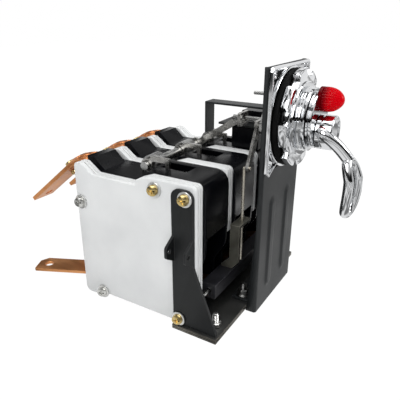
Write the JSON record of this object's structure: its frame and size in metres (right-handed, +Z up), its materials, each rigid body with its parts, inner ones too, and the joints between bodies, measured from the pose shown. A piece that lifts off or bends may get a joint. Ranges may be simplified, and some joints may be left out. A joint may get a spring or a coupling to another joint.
{
  "type": "manual transfer switch",
  "caption": "Open multi-pole manual transfer switch: grey pole plates, black arc housings, copper terminals, and a front panel with a chrome barrel, loop handle and red push button.",
  "frame": {"origin": "on the underside of the base rail, in the middle of the pole stack, at the plane of the pole plates' front edges", "axes": "+Z up away from the base rail, -Y toward the handle, +X along the row of poles to the right of the handle seen from the front"},
  "size_m": [0.1871, 0.3037, 0.2115],
  "materials": {
    "plate_grey": "light grey moulded insulating plastic, slightly satin",
    "housing_black": "black moulded plastic with a soft gloss",
    "steel_black": "black painted sheet steel",
    "panel_black": "charcoal powder-coated sheet steel",
    "steel_bright": "bright plated steel",
    "steel_dark": "dark olive-grey plated steel strip",
    "brass": "yellow brass fasteners",
    "copper": "bare copper bar, lightly tarnished",
    "chrome": "polished chrome plating",
    "rubber_black": "matt black rubber",
    "red_lens": "clear red fluted plastic",
    "bar_black": "matt black insulating bar",
    "rod_ivory": "ivory coated rod"
  },
  "bodies": {
    "frame": {"barrel_face": "chrome", "base_rail": "steel_black", "bridge_bracket": "steel_black", "corner_stud": "steel_bright", "front_panel": "panel_black", "interlock_cover": "housing_black", "interlock_lid": "steel_black", "interlock_switch": "housing_black", "lock_nut": "chrome", "lower_terminal_1": "copper", "lower_terminal_2": "copper", "lower_terminal_3": "copper", "mount_barrel": "chrome", "panel_gasket": "rubber_black", "panel_stud_1": "steel_bright", "panel_stud_2": "steel_bright", "pole_housing_1": "housing_black", "pole_housing_2": "housing_black", "pole_housing_3": "housing_black", "pole_plate_1": "plate_grey", "pole_plate_2": "plate_grey", "pole_plate_3": "plate_grey", "pole_plate_4": "plate_grey", "saddle_1": "steel_bright", "saddle_2": "steel_bright", "saddle_3": "steel_bright", "strap_far": "steel_black", "strap_near": "steel_black", "terminal_bolt_1": "brass", "terminal_bolt_2": "brass", "terminal_bolt_3": "brass", "tie_bolt_foot": "steel_bright", "tie_bolt_lower": "brass", "tie_bolt_middle": "brass", "tie_bolt_rear": "steel_bright", "tie_bolt_upper": "brass", "upper_terminal_1": "copper", "upper_terminal_2": "copper", "upper_terminal_3": "copper"},
    "handle": {"handle": "chrome", "handle_shaft": "steel_bright", "crank_plate": "steel_bright"},
    "lifter": {"drive_link": "steel_bright", "drive_rod": "rod_ivory", "lifting_lever": "steel_dark", "crossbar": "bar_black", "crossbar_pin": "steel_bright", "moving_contact_1": "copper", "moving_contact_2": "copper", "moving_contact_3": "copper"},
    "top_shaft": {"top_shaft": "steel_bright", "crank_finger_1": "steel_bright", "crank_finger_2": "steel_bright", "crank_finger_3": "steel_bright", "drive_lever": "steel_bright"},
    "button": {"red_button": "red_lens", "button_plunger": "steel_bright"}
  },
  "joints": [
    {"name": "handle_turn", "type": "hinge", "parent": "frame", "child": "handle", "pos_m": [0.0099, -0.0603, 0.16025], "axis": [0, 1, 0], "range_deg": [-45, 45]},
    {"name": "lifter_slide", "type": "slide", "parent": "frame", "child": "lifter", "axis": [0, 0, 1], "range_m": [-0.0061, 0.0061]},
    {"name": "shaft_rock", "type": "hinge", "parent": "frame", "child": "top_shaft", "pos_m": [0, 0.066, 0.1275], "axis": [1, 0, 0], "range_deg": [-9, 9]},
    {"name": "button_press", "type": "slide", "parent": "frame", "child": "button", "axis": [0, 1, 0], "range_m": [0, 0.003]}
  ],
  "couplings": [
    {"joint": "lifter_slide", "follows": "handle_turn", "m_per_rad": 0.0077668},
    {"joint": "shaft_rock", "follows": "handle_turn", "ratio": 0.2}
  ]
}
